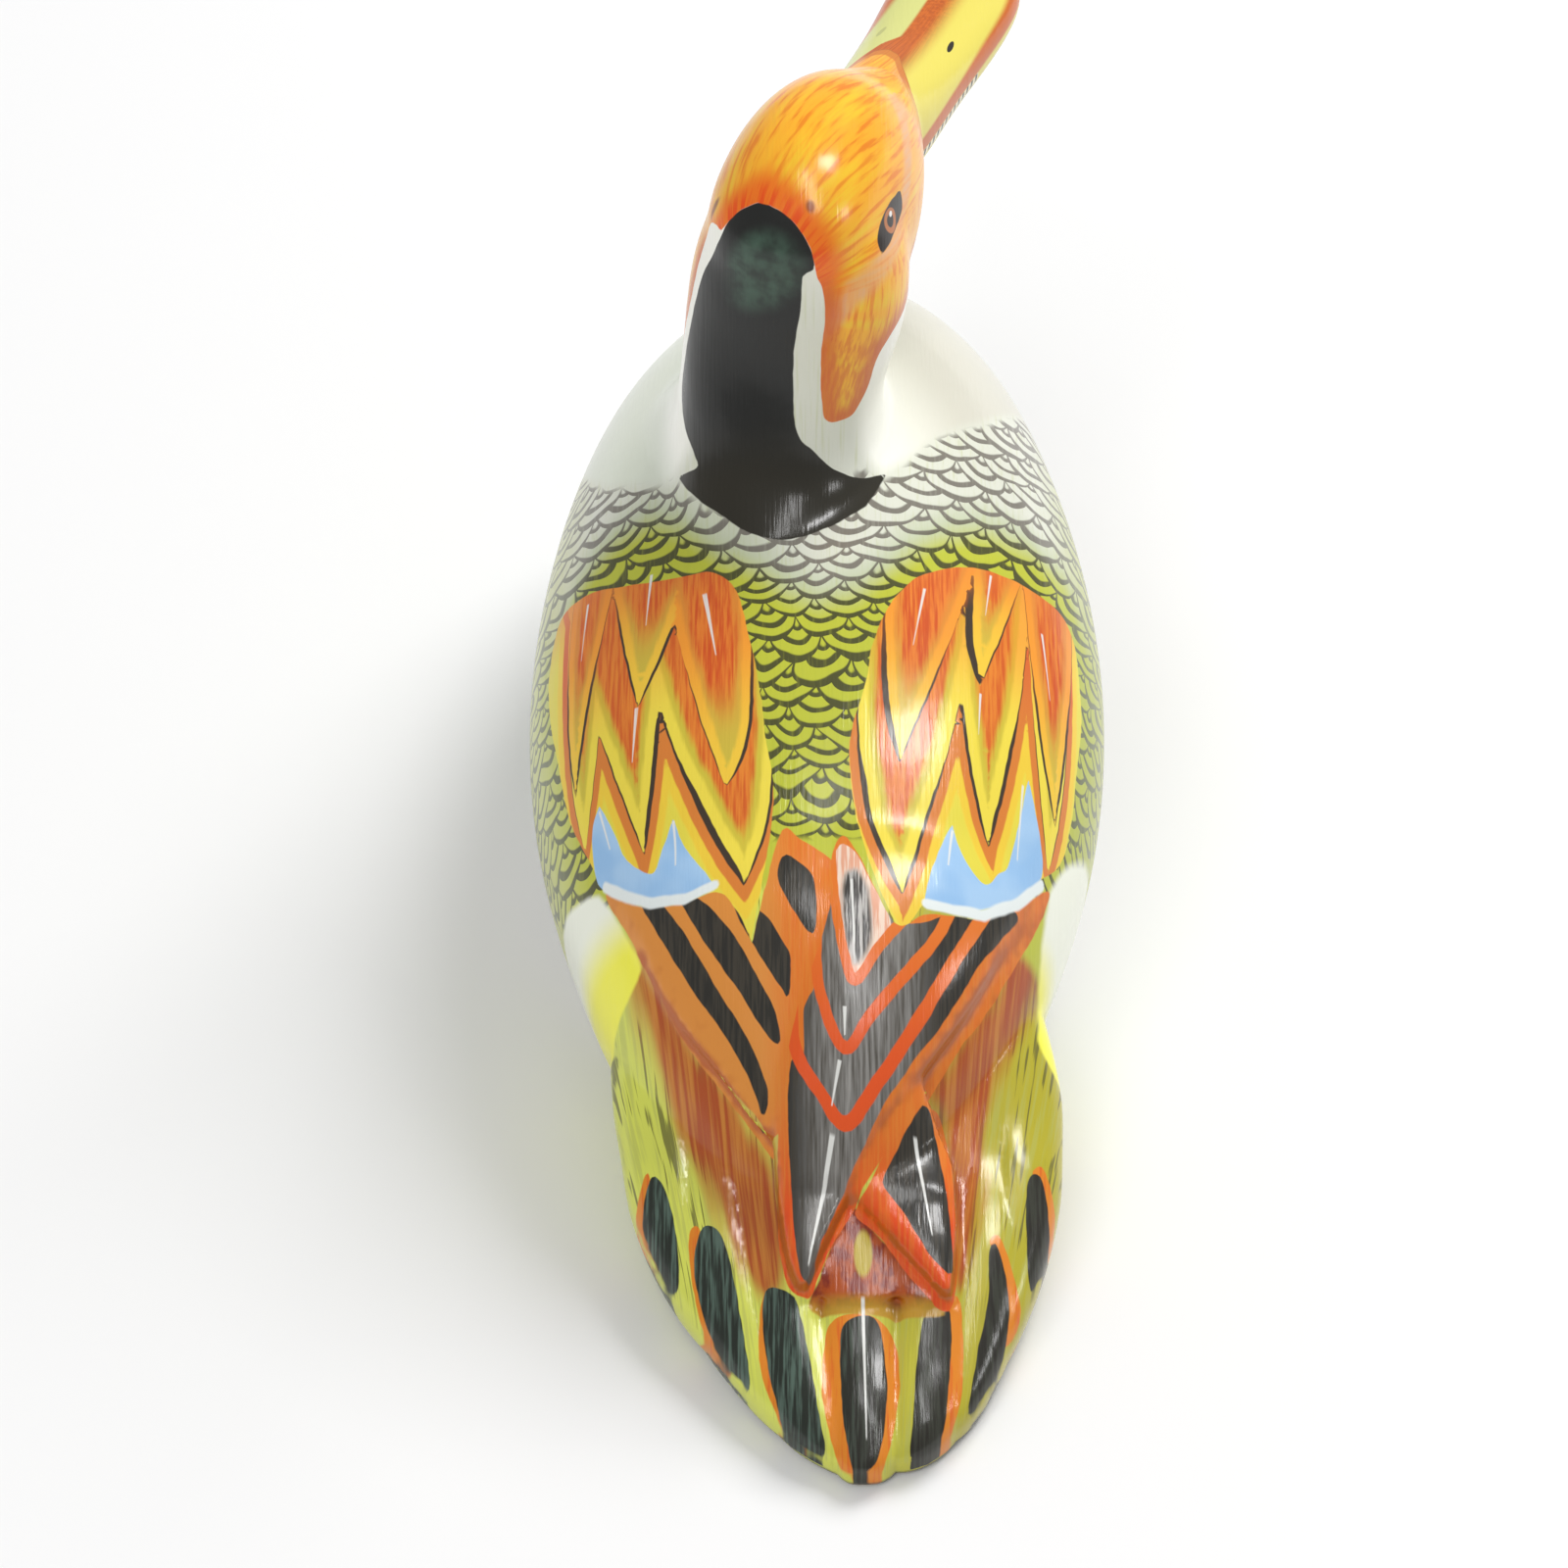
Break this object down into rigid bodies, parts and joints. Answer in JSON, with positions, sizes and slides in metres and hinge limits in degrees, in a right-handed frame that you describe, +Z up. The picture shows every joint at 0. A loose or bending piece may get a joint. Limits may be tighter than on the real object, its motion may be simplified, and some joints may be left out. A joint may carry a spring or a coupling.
{
  "type": "carved wooden duck",
  "caption": "Painted carved wooden duck with folded wings, a fanned tail and a turned head, standing as an ornament on its flat underside.",
  "frame": {"origin": "on the flat underside, in the middle of the duck's length and width", "axes": "+Z up, +Y from the breast to the tail, the head turned towards -X, which is the duck's own right side"},
  "size_m": [0.122, 0.3182, 0.1657],
  "materials": {
    "painted_wood": "hand-painted in yellow-green, orange, black, white and blue under a glossy varnish"
  },
  "bodies": {
    "root": {"carved_duck": "painted_wood"}
  },
  "joints": []
}
